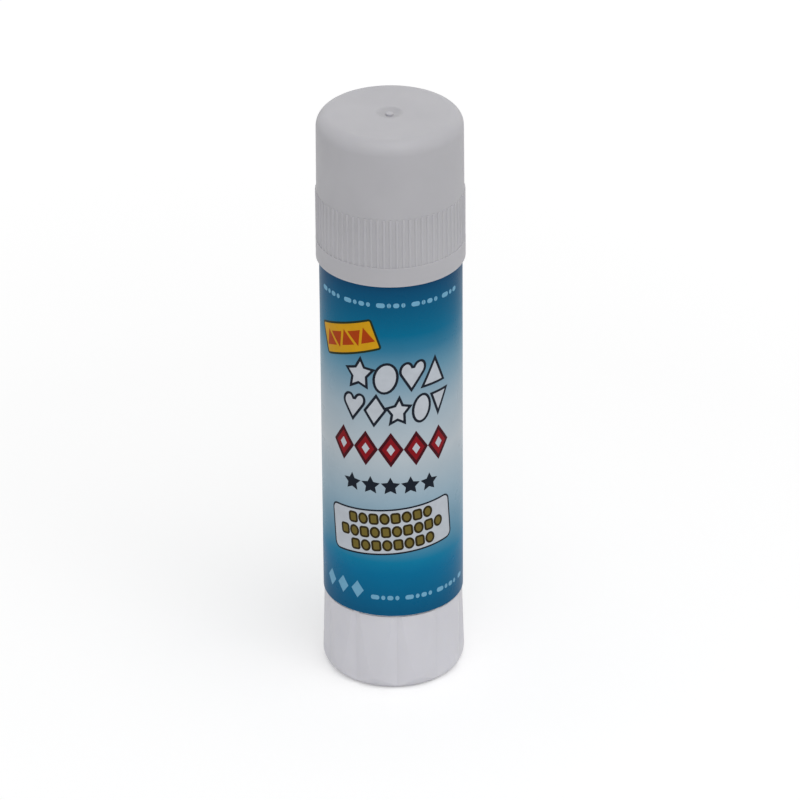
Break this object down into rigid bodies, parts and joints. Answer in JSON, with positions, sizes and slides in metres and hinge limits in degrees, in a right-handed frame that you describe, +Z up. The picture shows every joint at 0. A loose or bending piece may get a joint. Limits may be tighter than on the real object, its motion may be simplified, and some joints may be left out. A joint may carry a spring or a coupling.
{
  "type": "glue stick",
  "caption": "Twist-up glue stick with a pull-off cap, wrap label and lobed knob; turning the knob drives a threaded carrier and lifts the glue out of the tube.",
  "frame": {"origin": "centre of the knob's foot, on the surface that the stick stands on", "axes": "+Z up along the stick's axis towards the cap, front of the label towards -Y, +X to the right of the front"},
  "size_m": [0.022, 0.022, 0.091],
  "materials": {
    "cap_plastic": "white polypropylene, satin moulded surface",
    "tube_plastic": "white polypropylene, satin moulded surface",
    "knob_plastic": "white polypropylene, satin moulded surface",
    "screw_plastic": "natural white polypropylene",
    "carrier_plastic": "natural white polypropylene",
    "label_film": "printed plastic film, blue at both ends and pale in the middle, light gloss",
    "glue": "solid white adhesive, smooth and slightly waxy"
  },
  "bodies": {
    "barrel": {"body_tube": "tube_plastic", "wrap_label": "label_film"},
    "knob": {"twist_knob": "knob_plastic", "lead_screw": "screw_plastic"},
    "carrier": {"glue_carrier": "carrier_plastic", "glue_column": "glue"},
    "cap": {"cap": "cap_plastic"}
  },
  "joints": [
    {"name": "knob_twist", "type": "hinge", "parent": "barrel", "child": "knob", "pos_m": [0, 0, 0], "axis": [0, 0, 1], "range_deg": [0, 4860]},
    {"name": "carrier_rise", "type": "slide", "parent": "barrel", "child": "carrier", "axis": [0, 0, 1], "range_m": [0, 0.054]},
    {"name": "cap_pull", "type": "slide", "parent": "carrier", "child": "cap", "axis": [0, 0, 1], "range_m": [0, 0.03]}
  ],
  "couplings": [
    {"joint": "carrier_rise", "follows": "knob_twist", "m_per_rad": 0.00063662}
  ]
}
